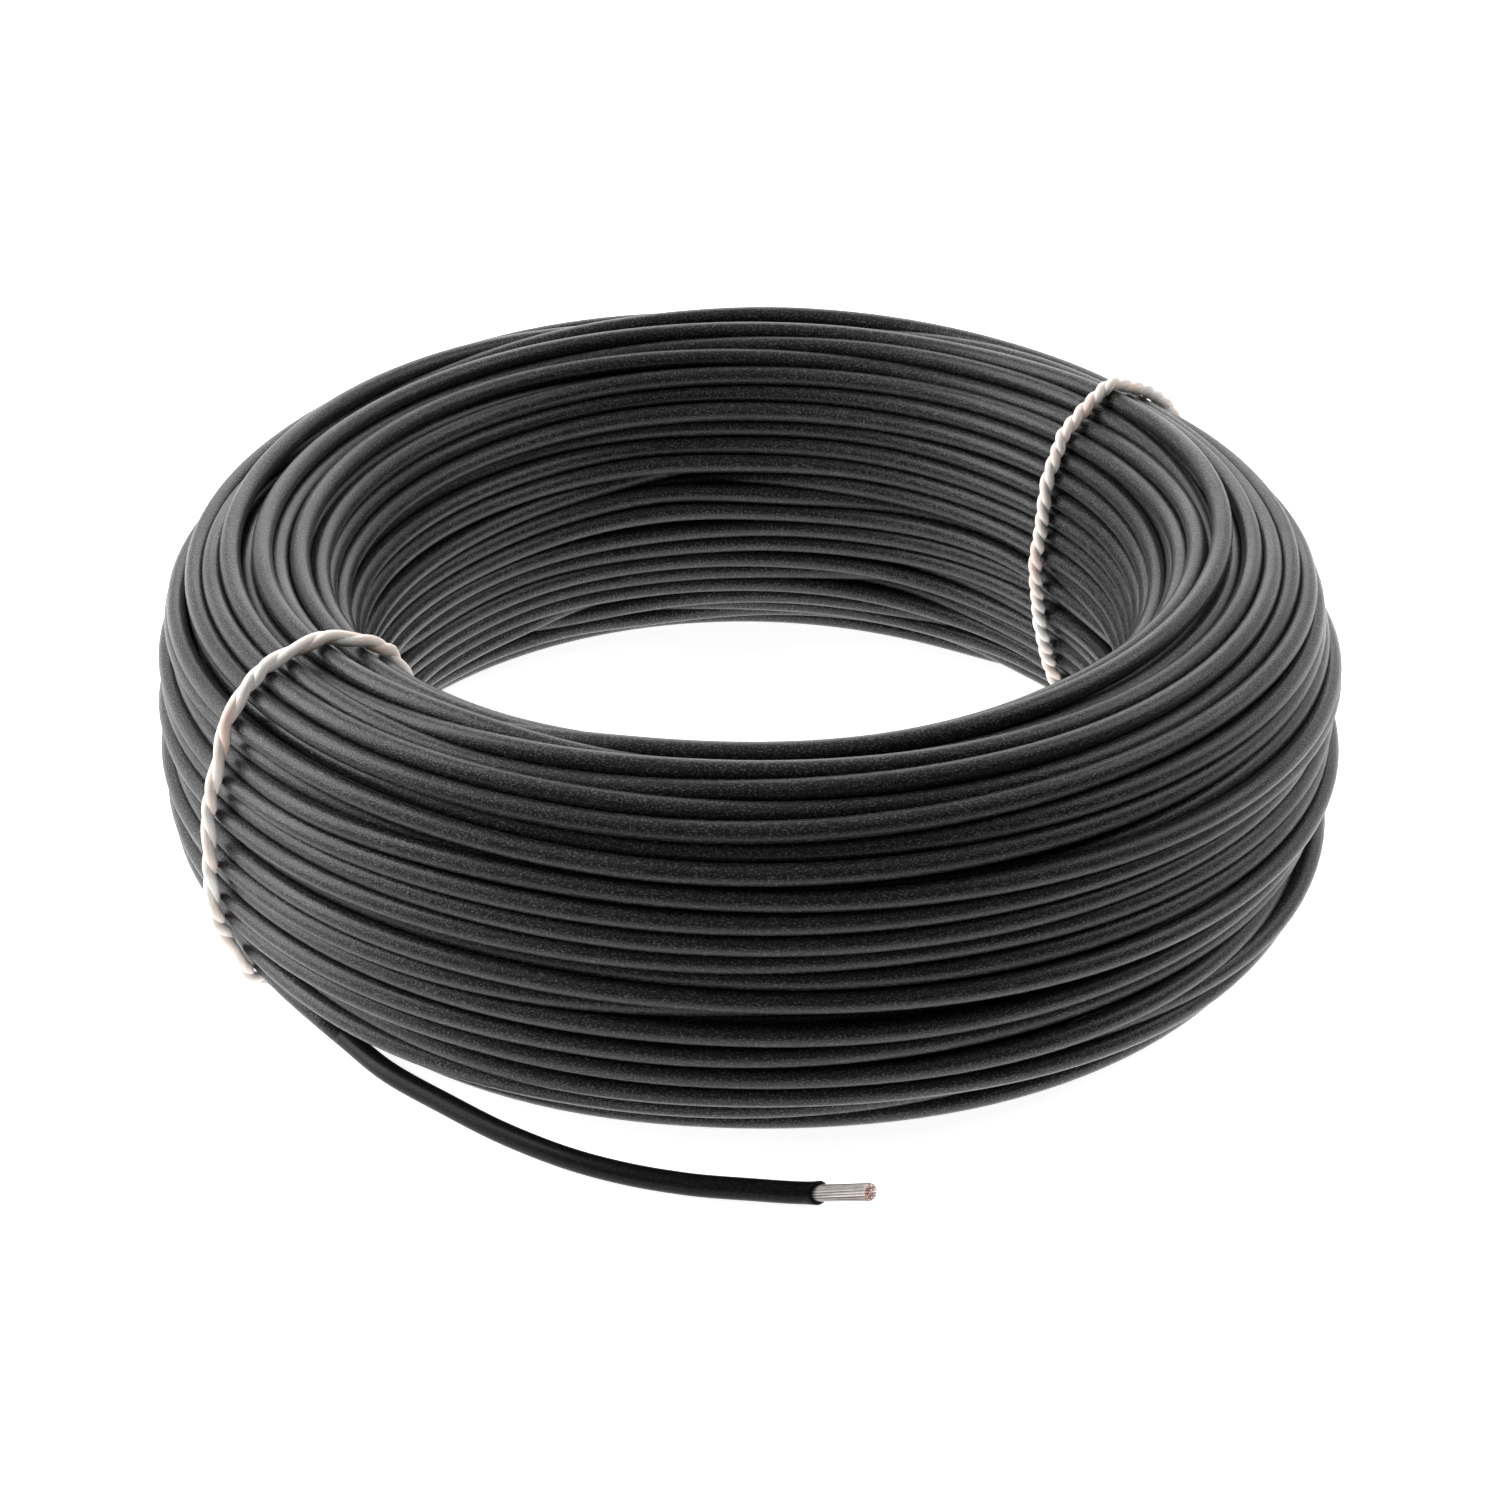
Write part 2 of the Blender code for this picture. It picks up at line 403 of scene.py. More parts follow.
def add_strays(rng, wanted, slots, diameter, turns, steps):
    """Move turns to where they stray, and give how firmly each point is held and the room it has."""
    count = len(wanted)
    hold = np.full(count, HOLD)
    room = np.full(count, ROOM)
    half = SECTION_HALF - diameter / 2.0
    for back, about, half_length, rise, slide in all_strays(rng):
        turn = turns - back
        middle = (turn + (math.radians(about) - TAIL_ANGLE) / (2.0 * math.pi) % 1.0) * steps
        off = (np.arange(count) - middle) * 360.0 / steps
        bump = np.exp(-((off / half_length) ** 2))
        along = slots[turn + 1] - slots[turn - 1]
        along /= np.linalg.norm(along)
        outward = np.array([-along[1], along[0]])
        wanted += diameter * bump[:, None] * (rise * outward + slide * along)
        hold += STRAY_HOLD * bump
        room += max(rise, 0.0) * bump * diameter / half.min()
    return hold, room


def lowest_places(angle, diameter, twine_diameter):
    """Least height of the wire's middle, which is higher where twine passes under the coil."""
    lowest = np.full(len(angle), diameter / 2.0)
    for top, lean, *_ in TIES.values():
        off = (np.degrees(angle) - (top + lean) + 180.0) % 360.0 - 180.0
        lowest += TWINE_PRESSED * twine_diameter * np.exp(-((off / TIE_LIFT_ANGLE) ** 2))
    return lowest


def ease(places):
    """Straighten a line a little, between its neighbours."""
    places[1:-1] += 0.5 * (0.5 * (places[:-2] + places[2:]) - places[1:-1])


def keep_in_section(places, half, stretch, room):
    """Draw points back towards the outline of the section where they are past it."""
    from_middle = places - SECTION_MIDDLE
    from_middle[:, 0] -= stretch * (places[:, 0] - BORE_RADIUS)
    power = corner_powers(from_middle[:, 0], from_middle[:, 1])
    size = (np.abs(from_middle / half) ** power[:, None]).sum(axis=1) ** (1.0 / power)
    places += 0.5 * from_middle * (np.minimum(1.0, room / np.maximum(size, 0.01)) - 1.0)[:, None]


def push_apart(places, one, other, diameter):
    """Move each pair of points apart where its wires press into each other."""
    apart = places[one] - places[other]
    distance = np.sqrt((apart ** 2).sum(axis=1)) + 1e-12
    push = apart * (0.5 * np.maximum(diameter - distance, 0.0) / distance)[:, None]
    for k in (0, 1):
        places[:, k] += np.bincount(one, push[:, k], len(places))
        places[:, k] -= np.bincount(other, push[:, k], len(places))


@functools.cache
def wound_wire(diameter, turns, steps, wander, twine_diameter):
    """Middle line of the whole wire as (radius, height) and angle, from the core along the tail."""
    rng = np.random.default_rng(SEED)
    slots = spiral_slots(diameter, turns)
    share = np.arange(steps) / steps
    drift = (slots[1:] - slots[:-1])[:, None, :] * share[None, :, None]
    tail = tail_places(diameter, steps)
    wanted = np.concatenate([(slots[:-1, None, :] + drift).reshape(-1, 2), tail])
    count = len(wanted)
    angle = TAIL_ANGLE + 2.0 * math.pi * np.arange(count) / steps
    sway = np.stack([slow_noise(rng, count, WANDER_STEPS), slow_noise(rng, count, WANDER_STEPS)], axis=1)
    wanted += wander * diameter * sway
    hold, room = add_strays(rng, wanted, slots, diameter, turns, steps)
    stretch = out_of_round(angle) / (COIL_RADIUS - BORE_RADIUS)
    wanted[:, 0] += stretch * (wanted[:, 0] - BORE_RADIUS)
    lowest = lowest_places(angle, diameter, twine_diameter)
    in_tail = slice(turns * steps, count)
    lowest[in_tail] = diameter / 2.0
    wanted[:, 1] = np.maximum(wanted[:, 1], lowest)
    wanted[in_tail] = tail
    places = wanted.copy()
    for number in range(SETTLE_PASSES):
        if number % PASSES_BETWEEN_PAIRS == 0:
            one, other = close_pairs(places, turns, steps, PAIR_REACH * diameter)
        for _ in range(EASES):
            ease(places)
        if number < HELD_PASSES:
            places += hold[:, None] * (wanted - places)
        keep_in_section(places, SECTION_HALF - diameter / 2.0, stretch, room)
        places[in_tail] = tail
        for _ in range(PUSHES):
            push_apart(places, one, other, diameter)
            places[:, 1] = np.maximum(places[:, 1], lowest)
            places[in_tail] = tail
    for _ in range(LAST_EASES):
        ease(places)
        places[in_tail] = tail
    return places, angle


def wound(context):
    """Middle line of the wire at the sizes that are set."""
    wire = context.scene.coil_wire
    twine = context.scene.coil_twine
    return wound_wire(wire.diameter, wire.turns, wire.steps, wire.wander, twine.diameter)


# Lines and tubes
def in_space(radius, height, angle):
    """Points at that radius, height and angle round the coil."""
    return np.stack([radius * np.cos(angle), radius * np.sin(angle), height], axis=1)


def reached(points):
    """Distance of each point along the line."""
    return np.concatenate([[0.0], np.cumsum(np.linalg.norm(np.diff(points, axis=0), axis=1))])


def spaced(points, spacing):
    """The same line with points an even distance apart."""
    along = reached(points)
    wanted = np.linspace(0.0, along[-1], 1 + round(along[-1] / spacing))
    return np.stack([np.interp(wanted, along, points[:, k]) for k in range(points.shape[1])], axis=1)


def only(made):
    """Select that object alone."""
    bpy.ops.object.select_all(action="DESELECT")
    made.select_set(True)
    bpy.context.view_layer.objects.active = made


def tubes(name, lines, radius, detail, closed=False, twist="Z_UP"):
    """Round tubes along lines of points, as one mesh that knows its way along and round them."""
    curve = bpy.data.curves.new(name, "CURVE")
    curve.dimensions = "3D"
    curve.bevel_depth = radius
    curve.bevel_resolution = detail
    curve.twist_mode = twist
    for points in lines:
        spline = curve.splines.new("POLY")
        spline.points.add(len(points) - 1)
        spline.points.foreach_set("co", np.column_stack([points, np.ones(len(points))]).ravel())
        spline.use_cyclic_u = closed
    made = bpy.data.objects.new(name, curve)
    bpy.context.collection.objects.link(made)
    only(made)
    bpy.ops.object.convert(target="MESH")
    made = bpy.context.view_layer.objects.active
    bpy.ops.object.shade_smooth()
    sides = 4 + 2 * detail
    round_it = 2.0 * math.pi * np.arange(sides) / sides
    grain = []
    for index, points in enumerate(lines):
        along = np.repeat(reached(points) + 0.37 * index, sides)
        about = np.tile(round_it, len(points))
        grain.append(np.stack([along, radius * np.cos(about), radius * np.sin(about)], axis=1))
    grain = np.concatenate(grain)
    if len(made.data.vertices) != len(grain):
        raise RuntimeError(f"{name}: {len(made.data.vertices)} points in the tubes, not {len(grain)}")
    made.data.attributes.new("grain", "FLOAT_VECTOR", "POINT").data.foreach_set("vector", grain.ravel())
    if not closed:
        bpy.ops.object.mode_set(mode="EDIT")
        bpy.ops.mesh.select_all(action="SELECT")
        bpy.ops.mesh.fill_holes(sides=0)
        bpy.ops.object.mode_set(mode="OBJECT")
    return made


# Materials
def put(tree, node, socket, value):
    """Set an input of a node, or link it to another node's output."""
    if isinstance(value, bpy.types.NodeSocket):
        tree.links.new(value, node.inputs[socket])
    elif node.inputs[socket].type == "RGBA":
        node.inputs[socket].default_value = (*value, 1.0)
    else:
        node.inputs[socket].default_value = value


def put_all(tree, node, values):
    """Set or link several inputs of a node."""
    for socket, value in values.items():
        put(tree, node, socket, value)


def new_group(name, inputs, outputs):
    """Shader node group with those sockets, given as name and kind."""
    group = bpy.data.node_groups.new(name, "ShaderNodeTree")
    for label, kind, value in inputs:
        socket = group.interface.new_socket(label, in_out="INPUT", socket_type="NodeSocket" + kind)
        socket.default_value = (*value, 1.0) if kind == "Color" else value
    for label, kind in outputs:
        group.interface.new_socket(label, in_out="OUTPUT", socket_type="NodeSocket" + kind)
    return group, group.nodes.new("NodeGroupInput").outputs, group.nodes.new("NodeGroupOutput")


def placed(tree, group, values):
    """Outputs of a node group that is placed in a material with its own values."""
    node = tree.nodes.new("ShaderNodeGroup")
    node.node_tree = group
    put_all(tree, node, values)
    return node.outputs


def new_material(name):
    """Material with its node tree and its shader."""
    made = bpy.data.materials.new(name)
    made.use_nodes = True
    return made, made.node_tree, made.node_tree.nodes["Principled BSDF"]


def along_surface(tree, stretch):
    """The piece's own way along and round, drawn out along it."""
    own = tree.nodes.new("ShaderNodeAttribute")
    own.attribute_name = "grain"
    moved = tree.nodes.new("ShaderNodeMapping")
    moved.inputs["Scale"].default_value = (stretch, 1.0, 1.0)
    tree.links.new(own.outputs["Vector"], moved.inputs["Vector"])
    return moved.outputs["Vector"]


def noise(tree, where, scale, detail):
    """Noise over those coordinates."""
    node = tree.nodes.new("ShaderNodeTexNoise")
    put_all(tree, node, {"Vector": where, "Scale": scale, "Detail": detail})
    return node.outputs["Fac"]


def combined(tree, operation, first, second):
    """Result of a math node on two values."""
    node = tree.nodes.new("ShaderNodeMath")
    node.operation = operation
    put_all(tree, node, {0: first, 1: second})
    return node.outputs[0]


def measured(tree, operation, vectors):
    """Result of a vector math node that gives one value."""
    node = tree.nodes.new("ShaderNodeVectorMath")
    node.operation = operation
    for index, vector in enumerate(vectors):
        put(tree, node, index, vector)
    return node.outputs["Value"]


def ranged(tree, value, low, high, to_low, to_high):
    """Value mapped from one range to another."""
    node = tree.nodes.new("ShaderNodeMapRange")
    put_all(tree, node, {
        "Value": value,
        "From Min": low,
        "From Max": high,
        "To Min": to_low,
        "To Max": to_high,
    })
    return node.outputs["Result"]


def mixed(tree, share, first, second):
    """Two colours mixed by a share."""
    node = tree.nodes.new("ShaderNodeMix")
    node.data_type = "RGBA"
    put_all(tree, node, {0: share, 6: first, 7: second})
    return node.outputs[2]


def bumped(tree, height, strength, distance):
    """Normal of a surface that is raised by a height."""
    node = tree.nodes.new("ShaderNodeBump")
    put_all(tree, node, {"Height": height, "Strength": strength, "Distance": distance})
    return node.outputs["Normal"]


def insulation_grain():
    """Speckle, streaks and dull patches of extruded black insulation."""
    name = "insulation_grain"
    if name in bpy.data.node_groups:
        return bpy.data.node_groups[name]
    group, given, result = new_group(
        name,
        (("Colour", "Color", (0.03, 0.03, 0.03)), ("Speckle", "Float", 1.0)),
        (("Colour", "Color"), ("Roughness", "Float"), ("Height", "Float")),
    )
    speckle = noise(group, along_surface(group, 0.6), 3200.0, 1.0)
    streak = noise(group, along_surface(group, 0.03), 1500.0, 2.0)
    patch = noise(group, along_surface(group, 0.6), 60.0, 3.0)
    bright = combined(group, "MULTIPLY", ranged(group, speckle, 0.52, 0.70, 0.0, 1.0), given["Speckle"])
    pale = mixed(group, bright, given["Colour"], (0.085, 0.085, 0.088))
    dim = mixed(group, ranged(group, streak, 0.45, 0.7, 0.0, 0.35), pale, (0.0035, 0.0035, 0.0038))
    put_all(group, result, {
        "Colour": dim,
        "Roughness": ranged(group, patch, 0.3, 0.7, 0.36, 0.50),
        "Height": speckle,
    })
    return group


def insulation(name, colour, speckle, bump, gloss):
    """Matte black insulation with its grain."""
    made, tree, shader = new_material(name)
    grain = placed(tree, insulation_grain(), {"Colour": colour, "Speckle": speckle})
    put_all(tree, shader, {
        "Base Color": grain["Colour"],
        "Roughness": grain["Roughness"],
        "Normal": bumped(tree, grain["Height"], bump, 0.00014),
        "Specular IOR Level": gloss,
        "Coat Weight": gloss,
        "Coat Roughness": 0.18,
        "Coat IOR": 1.3,
    })
    return made


def twine_fibre():
    """Fine fibres and uneven dye along a ply of twine."""
    name = "twine_fibre"
    if name in bpy.data.node_groups:
        return bpy.data.node_groups[name]
    group, given, result = new_group(
        name,
        (("Colour", "Color", (0.8, 0.7, 0.6)), ("Tint", "Color", (0.8, 0.5, 0.4)), ("Dye", "Float", 0.5)),
        (("Colour", "Color"), ("Roughness", "Float"), ("Height", "Float")),
    )
    fibre = noise(group, along_surface(group, 0.08), 4200.0, 2.0)
    dye = noise(group, along_surface(group, 1.0), 45.0, 2.0)
    tinted = combined(group, "MULTIPLY", ranged(group, dye, 0.38, 0.66, 0.0, 1.0), given["Dye"])
    dyed = mixed(group, tinted, given["Colour"], given["Tint"])
    dark = mixed(group, ranged(group, fibre, 0.35, 0.6, 0.22, 0.0), dyed, (0.42, 0.34, 0.28))
    put_all(group, result, {
        "Colour": dark,
        "Roughness": ranged(group, fibre, 0.3, 0.7, 0.62, 0.85),
        "Height": fibre,
    })
    return group


def twine_ply(name, colour, tint, dye):
    """Spun fibre of one ply of the twine."""
    made, tree, shader = new_material(name)
    fibre = placed(tree, twine_fibre(), {"Colour": colour, "Tint": tint, "Dye": dye})
    put_all(tree, shader, {
        "Base Color": fibre["Colour"],
        "Roughness": fibre["Roughness"],
        "Normal": bumped(tree, fibre["Height"], 0.5, 0.0002),
        "Subsurface Weight": 0.4,
        "Subsurface Radius": (0.001, 0.0007, 0.0005),
    })
    return made


def drawn_metal(name, colour, metallic, stretch, stain_scale, stained, mouth, facing):
    """Metal of the strands, with fine lines along them, and painted shade that darkens them towards the
    mouth, where the insulation shades them.
    """
    made, tree, shader = new_material(name)
    line = noise(tree, along_surface(tree, stretch), 6000.0, 2.0)
    stain = noise(tree, along_surface(tree, 1.0), stain_scale, 2.0)
    own_tone = noise(tree, along_surface(tree, 1.0), 30.0, 0.0)
    toned = mixed(tree, ranged(tree, own_tone, 0.45, 0.55, 0.0, 0.85), colour, 0.3 * colour)
    worn = mixed(tree, ranged(tree, stain, 0.45, 0.6, 0.0, stained), toned, (0.16, 0.08, 0.07))
    where = tree.nodes.new("ShaderNodeTexCoord").outputs["Object"]
    ahead = measured(tree, "DOT_PRODUCT", (where, facing))
    start = mouth.dot(facing)
    # Painted shade: the strands go dark towards the mouth, standing in for the insulation's shadow
    shade = ranged(tree, ahead, start + 0.0001, start + 0.0007, 1.0, 0.0)
    put_all(tree, shader, {
        "Base Color": mixed(tree, shade, worn, (0.01, 0.008, 0.008)),
        "Metallic": metallic,
        "Roughness": ranged(tree, line, 0.3, 0.7, 0.3, 0.5),
        "Normal": bumped(tree, line, 0.3, 0.00005),
    })
    return made


def floor_paper():
    """Pale seamless paper. In reflections it glows behind the coil and close round its foot."""
    made, tree, shader = new_material("floor_paper")
    where = tree.nodes.new("ShaderNodeTexCoord").outputs["Object"]
    tooth = noise(tree, where, 900.0, 2.0)
    seen = tree.nodes.new("ShaderNodeLightPath").outputs["Is Camera Ray"]
    apart = tree.nodes.new("ShaderNodeSeparateXYZ")
    put(tree, apart, 0, where)
    from_behind = ranged(tree, apart.outputs["Y"], -0.28, 0.18, 0.22, 2.1)
    round_foot = ranged(tree, measured(tree, "LENGTH", (where,)), 0.17, 0.38, 1.9, 0.22)
    glow = combined(tree, "MAXIMUM", from_behind, round_foot)
    put_all(tree, shader, {
        "Base Color": mixed(tree, seen, (0.03, 0.03, 0.03), (0.92, 0.92, 0.92)),
        "Emission Color": (1.0, 1.0, 1.0),
        "Emission Strength": ranged(tree, seen, 0.0, 1.0, glow, 0.9),
        "Roughness": ranged(tree, tooth, 0.3, 0.7, 0.85, 0.95),
        "Normal": bumped(tree, tooth, 0.05, 0.0002),
    })
    return made


def white_wall_behind():
    """White surroundings that light the coil from behind and leave its front dark."""
    world = bpy.data.worlds.new("studio")
    world.use_nodes = True
    tree = world.node_tree
    facing = tree.nodes.new("ShaderNodeSeparateXYZ")
    put(tree, facing, 0, tree.nodes.new("ShaderNodeTexCoord").outputs["Generated"])
    bright = ranged(tree, facing.outputs["Y"], 0.0, 0.7, 0.0, 1.45)
    seen = tree.nodes.new("ShaderNodeLightPath").outputs["Is Camera Ray"]
    put_all(tree, tree.nodes["Background"], {
        "Color": (1.0, 1.0, 1.0),
        "Strength": ranged(tree, seen, 0.0, 1.0, bright, 1.0),
    })
    return world


# Operators
class COIL_OT_stage(bpy.types.Operator):
    """Set the camera, the pale floor and the soft studio light"""

    bl_idname = "coil.stage"
    bl_label = "Stage"

    def execute(self, context):
        self.add_camera(context)
        bpy.ops.object.select_all(action="DESELECT")
        bpy.ops.mesh.primitive_plane_add(size=FLOOR_SIZE, location=(0.0, 0.0, FLOOR_HEIGHT))
        floor = context.active_object
        floor.name = "floor"
        floor.data.materials.append(floor_paper())
        context.scene.world = white_wall_behind()
        for name, spot, size, power in LAMPS:
            self.add_soft_box(context, name, Vector(spot), size, power)
        context.scene.view_settings.view_transform = "Standard"
        return {"FINISHED"}

    def add_camera(self, context):
        """Add the camera in front of the coil, above it and a little turned about its own axis."""
        forward = Vector((0.0, math.cos(CAMERA_ELEVATION), -math.sin(CAMERA_ELEVATION)))
        level = Vector((1.0, 0.0, 0.0))
        upright = level.cross(forward)
        right = level * math.cos(CAMERA_ROLL) - upright * math.sin(CAMERA_ROLL)
        up = level * math.sin(CAMERA_ROLL) + upright * math.cos(CAMERA_ROLL)
        data = bpy.data.cameras.new("camera")
        data.sensor_width = 36.0
        data.lens = CAMERA_LENS
        data.shift_x, data.shift_y = CAMERA_SHIFT
        data.clip_start = 0.01
        camera = bpy.data.objects.new("camera", data)
        context.collection.objects.link(camera)
        place = Matrix((right, up, -forward)).transposed().to_4x4()
        place.translation = Vector((0.0, 0.0, COIL_HEIGHT / 2.0)) - CAMERA_DISTANCE * forward
        camera.matrix_world = place
        context.scene.camera = camera

    def add_soft_box(self, context, name, spot, size, power):
        """Add a round soft lamp at that spot, which faces the coil."""
        light = bpy.data.lights.new(name, "AREA")
        light.shape = "DISK"
        light.size = size
        light.energy = power
        lamp = bpy.data.objects.new(name, light)
        context.collection.objects.link(lamp)
        aim = (LAMP_AIM - spot).to_track_quat("-Z", "Y").to_matrix().to_4x4()
        lamp.matrix_world = Matrix.Translation(spot) @ aim


class COIL_OT_winding(bpy.types.Operator):
    """Wind the coil, from its core to where the loose end leaves it"""

    bl_idname = "coil.winding"
    bl_label = "Winding"

    def execute(self, context):
        wire = context.scene.coil_wire
        places, angle = wound(context)
        line = in_space(places[:, 0], places[:, 1], angle)
        laid = wire.turns * wire.steps
        counts = winding_layers(wire.diameter, wire.turns)[1]
        outer = laid - counts[0] * wire.steps
        middle = outer - counts[1] * wire.steps
        halfway = laid - round(OUTER_SIDE_SHARE * counts[0]) * wire.steps
        black = insulation("insulation", wire.colour, 1.0, 0.9, 0.28)
        for name, run, detail in (
            ("winding_core", line[: middle + 1 : 2], 2),
            ("winding_inner_layer", line[middle : outer + 1], 4),
            ("winding_bore_side", line[outer : halfway + 1], 6),
            ("winding_outer_side", line[halfway : laid + 1], 6),
        ):
            piece = tubes(name, [run], wire.diameter / 2.0, detail)
            piece.data.materials.append(black)
            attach(piece, "root")
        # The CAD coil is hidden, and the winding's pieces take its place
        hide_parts("wire_coil")
        return {"FINISHED"}


def slanted(slant):
    """Way that a cut faces when its near and upper side is cut back by that angle."""
    return Vector((
        math.cos(slant),
        CUT_BACK_SIDE[0] * math.sin(slant),
        CUT_BACK_SIDE[1] * math.sin(slant),
    ))


class COIL_OT_loose_end(bpy.types.Operator):
    """Lay the loose end along the floor, cut it aslant and bare its strands"""

    bl_idname = "coil.loose_end"
    bl_label = "Loose end"

    def execute(self, context):
        wire = context.scene.coil_wire
        angle, outside = tail_route()
        points = in_space(COIL_RADIUS + outside, np.full(len(angle), wire.diameter / 2.0), angle)
        points = spaced(points, TAIL_SPACING)
        tip = Vector(points[-1])
        forward = (tip - Vector(points[-2])).normalized()
        mouth = tip - forward * MOUTH_BACK
        piece = self.add_insulation(wire, points, tip, mouth, forward)
        strands = self.add_strands(wire, tip, mouth, forward)
        for made in (piece, strands):
            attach(made, "root")
        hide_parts("wire_tail")
        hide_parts("conductor")
        return {"FINISHED"}

    def add_insulation(self, wire, points, tip, mouth, forward):
        """Add the insulation, cut aslant at its mouth, hollowed there and flared a little, with painted
        shade on its cut face and in its hollow.
        """
        facing = slanted(MOUTH_SLANT)
        beyond = np.array([mouth + forward * step for step in PAST_MOUTH])
        piece = tubes("loose_end", [np.concatenate([points, beyond])], wire.diameter / 2.0, 8)
        piece.data.materials.append(insulation("loose_end_black", wire.colour * 0.7, 0.15, 0.2, 0.09))
        # A darker copy of the insulation for the cut face and hollow of the mouth: painted shade
        piece.data.materials.append(insulation("mouth_painted_shade", wire.colour * 0.2, 0.0, 0.3, 0.05))
        bpy.ops.object.mode_set(mode="EDIT")
        bpy.ops.mesh.select_all(action="SELECT")
        bpy.ops.mesh.bisect(plane_co=mouth, plane_no=facing, use_fill=True, clear_outer=True)
        piece.active_material_index = 1
        bpy.ops.object.material_slot_assign()
        bpy.ops.mesh.inset(thickness=wire.wall)
        bpy.ops.mesh.extrude_region_move(TRANSFORM_OT_translate={"value": forward * -MOUTH_DEPTH})
        bpy.ops.object.mode_set(mode="OBJECT")
        for corner in piece.data.vertices:
            along = (corner.co - mouth).dot(forward)
            middle = mouth + forward * along
            near = max(0.0, 1.0 + (corner.co - mouth).dot(facing) / FLARE_LENGTH)
            corner.co = middle + (corner.co - middle) * (1.0 + FLARE * near * near)
        return piece

    def add_strands(self, wire, tip, mouth, forward):
        """Add the bundle of strands, cut aslant, with copper on the cuts and painted shade on its inner
        strands and towards the mouth.
        """
        cut = slanted(STRAND_SLANT)
        side = forward.cross(Vector((0.0, 0.0, 1.0))).normalized()
        over = side.cross(forward)
        rng = np.random.default_rng(SEED)
        lines = []
        for ring, number in enumerate(STRAND_RINGS):
            for index in range(number):
                about = 2.0 * math.pi * (index + 0.5 * (ring % 2)) / number
                away = STRAND_SPACING * ring
                jitter = rng.normal(0.0, 0.00002, 2)
                run = []
                for share in np.linspace(*STRAND_REACH, 12):
                    spread = 0.97 + STRAND_WIDENING * max(share, 0.0) ** 1.5
                    turn = about + STRAND_TWIST * share
                    sideways = away * spread * math.cos(turn) + jitter[0] * share
                    upward = away * spread * math.sin(turn) + jitter[1] * share
                    run.append(tip + forward * (wire.bare * share) + side * sideways + over * upward)
                lines.append(np.array(run))
        piece = tubes("strands", lines, STRAND_RADIUS, 2, twist="MINIMUM")
        for name, colour, metallic, stretch, stain_scale, stained in (
            ("tinned_strand", wire.strand_colour, 0.4, 0.03, 500.0, 0.15),
            ("cut_copper", wire.cut_colour, 0.1, 1.0, 1900.0, 0.85),
            # A dark copy of the tinned strand: painted shade for the strands deep in the bundle
            ("inner_strand_painted_shade", wire.strand_colour * 0.16, 0.2, 0.03, 500.0, 0.3),
        ):
            look = drawn_metal(
                name, colour, metallic, stretch, stain_scale, stained, mouth, slanted(MOUTH_SLANT)
            )
            piece.data.materials.append(look)
        bpy.ops.object.mode_set(mode="EDIT")
        bpy.ops.mesh.select_all(action="SELECT")
        end = tip + forward * (wire.bare - STRAND_BACK)
        bpy.ops.mesh.bisect(plane_co=end, plane_no=cut, use_fill=True, clear_outer=True)
        bpy.ops.object.mode_set(mode="OBJECT")
        for face in piece.data.polygons:
            from_end = face.center - end
            from_middle = from_end - forward * from_end.dot(forward)
            if face.normal.dot(cut) > 0.9 and from_end.dot(cut) > -0.0002:
                face.material_index = 1
                face.use_smooth = False
            # Inner strands take the dark copy, painted shade between the strands
            elif from_middle.length < SHADED_INNER_BUNDLE * STRAND_SPACING:
                face.material_index = 2
        return piece


def tie_line(context, top, lean):
    """Middle line of a tie drawn tight round the wires, as closed points, and their angles."""
    wire = context.scene.coil_wire
    twine = context.scene.coil_twine
    places, angle = wound(context)
    turns = np.arange(wire.turns)
    height = np.full(wire.turns, COIL_HEIGHT / 2.0)
    for _ in range(4):
        about = np.radians(top + lean * (1.0 - height / COIL_HEIGHT)) - TAIL_ANGLE
        step = (about / (2.0 * math.pi) % 1.0) * wire.steps + turns * wire.steps
        radius = np.interp(step, np.arange(len(places)), places[:, 0])
        height = np.interp(step, np.arange(len(places)), places[:, 1])
    facing = np.linspace(0.0, 2.0 * math.pi, OUTLINE_POINTS)
    outward = np.stack([np.cos(facing), np.sin(facing)], axis=1)
    centres = np.stack([radius, height], axis=1)
    furthest = np.argmax(outward @ centres.T, axis=1)
    drawn = centres[furthest] + outward * (wire.diameter + twine.diameter) / 2.0
    drawn[:, 1] = np.maximum(drawn[:, 1], TWINE_PRESSED * twine.diameter / 2.0)
    drawn = spaced(drawn, TWINE_SPACING)[:-1]
    return drawn, np.radians(top + lean * (1.0 - np.clip(drawn[:, 1] / COIL_HEIGHT, 0.0, 1.0)))


def uneven(rng, share, low, high, waves):
    """Uneven sway round a closed line, as waves of random size and start."""
    return sum(
        rng.uniform(low, high) * np.sin(2.0 * math.pi * (wave * share + rng.random()))
        for wave in waves
    )


def unit(vectors):
    """The same vectors, each one long."""
    return vectors / np.linalg.norm(vectors, axis=1)[:, None]


def twisted_lines(rng, drawn, angle, lay, ply_radius, away):
    """Middle lines of the two plies that twist round the line of a tie."""
    middle = in_space(drawn[:, 0], drawn[:, 1], angle)
    forward = unit(np.roll(middle, -1, axis=0) - np.roll(middle, 1, axis=0))
    across = np.stack([-np.sin(angle), np.cos(angle), np.zeros(len(angle))], axis=1)
    outward = unit(np.cross(forward, across))
    across = np.cross(outward, forward)
    share = np.arange(len(middle)) / len(middle)
    length = reached(np.vstack([middle, middle[:1]]))[-1]
    slack = uneven(rng, share, 0.1, 0.3, range(3, 15))
    sway = uneven(rng, share, 0.00004, 0.00012, range(3, 12))
    middle = middle + across * sway[:, None]
    lines = []
    for ply in range(2):
        about = 2.0 * math.pi * (round(length / lay) * share + ply / 2.0) + slack
        run = middle + away * (outward * np.cos(about)[:, None] + across * np.sin(about)[:, None])
        run[:, 2] = np.maximum(run[:, 2], ply_radius)
        lines.append(run)
    return lines


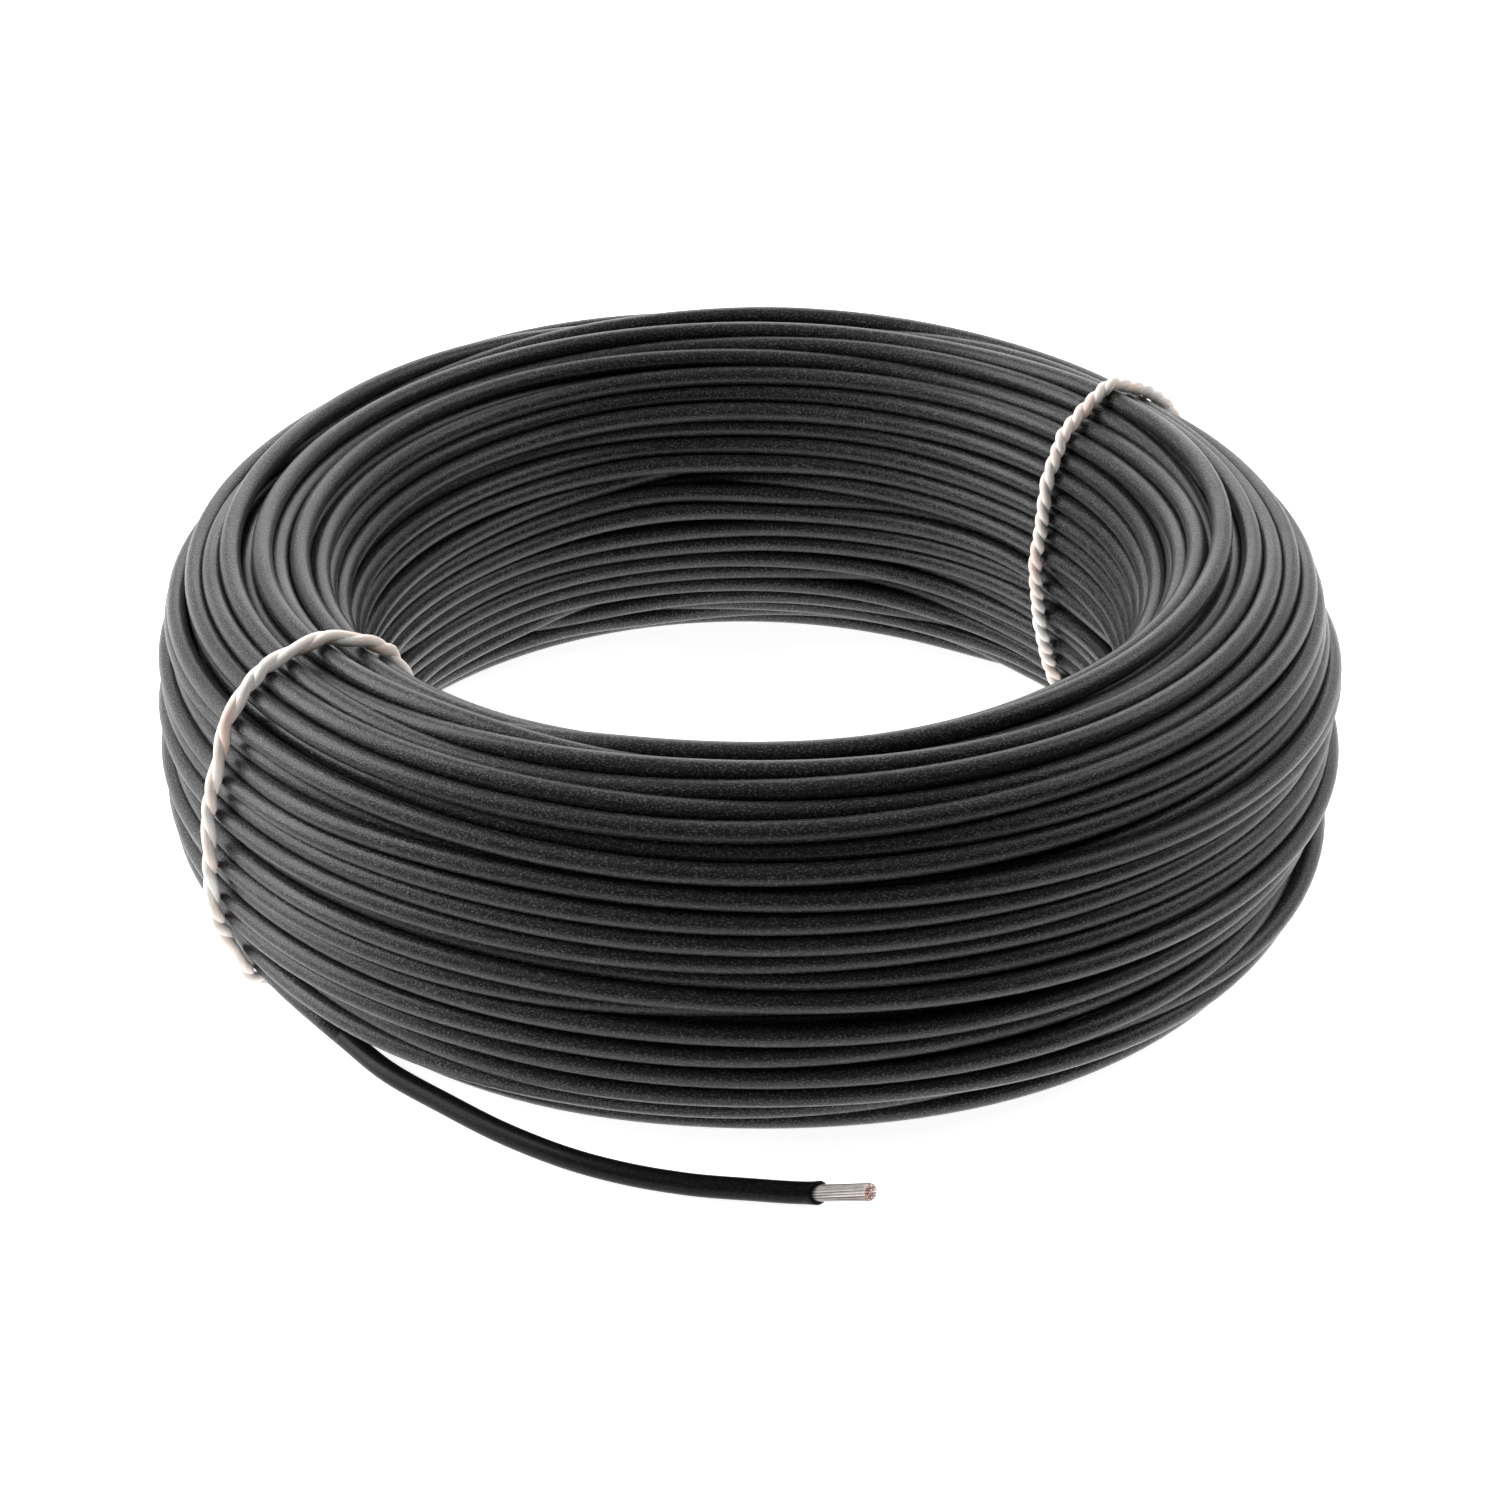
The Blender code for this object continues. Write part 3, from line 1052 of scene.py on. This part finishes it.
class COIL_OT_ties(bpy.types.Operator):
    """Tie the coil with twisted twine"""

    bl_idname = "coil.ties"
    bl_label = "Ties"

    def execute(self, context):
        twine = context.scene.coil_twine
        plies = (
            twine_ply("pale_ply", twine.pale, twine.blush, 0.75),
            twine_ply("grey_ply", twine.grey, twine.blush, 0.45),
        )
        for number, (name, (top, lean, lay_share, ply_size, ply_away)) in enumerate(TIES.items()):
            drawn, angle = tie_line(context, top, lean)
            ply_radius = twine.diameter * ply_size
            lines = twisted_lines(
                np.random.default_rng(SEED + number),
                drawn,
                angle,
                twine.lay * lay_share,
                ply_radius,
                twine.diameter * ply_away,
            )
            pieces = []
            for ply, (run, look) in enumerate(zip(lines, plies)):
                piece = tubes(f"{name}_ply_{ply}", [run], ply_radius, 4, closed=True, twist="MINIMUM")
                piece.data.materials.append(look)
                pieces.append(piece)
            for piece in pieces:
                piece.select_set(True)
            bpy.ops.object.join()
            piece = context.active_object
            piece.name = f"twine_{name}"
            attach(piece, "root")
            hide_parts(name)
        return {"FINISHED"}


class COIL_PT_panel(bpy.types.Panel):
    """Sizes, colours and steps of the coil"""

    bl_idname = "COIL_PT_panel"
    bl_label = "Wire coil"
    bl_space_type = "VIEW_3D"
    bl_region_type = "UI"
    bl_category = "Wire coil"

    def draw(self, context):
        for settings in (context.scene.coil_wire, context.scene.coil_twine):
            for name in settings.__annotations__:
                self.layout.prop(settings, name)
        for step in STEPS:
            self.layout.operator(step.bl_idname)


STEPS = (COIL_OT_stage, COIL_OT_winding, COIL_OT_loose_end, COIL_OT_ties)
CLASSES = (WireSettings, TwineSettings, *STEPS, COIL_PT_panel)


def register():
    for made in CLASSES:
        bpy.utils.register_class(made)
    bpy.types.Scene.coil_wire = bpy.props.PointerProperty(type=WireSettings)
    bpy.types.Scene.coil_twine = bpy.props.PointerProperty(type=TwineSettings)


def unregister():
    del bpy.types.Scene.coil_twine
    del bpy.types.Scene.coil_wire
    for made in reversed(CLASSES):
        bpy.utils.unregister_class(made)


def main():
    register()
    bpy.ops.coil.stage()
    bpy.ops.coil.winding()
    bpy.ops.coil.loose_end()
    bpy.ops.coil.ties()


if __name__ == "__main__":
    main()
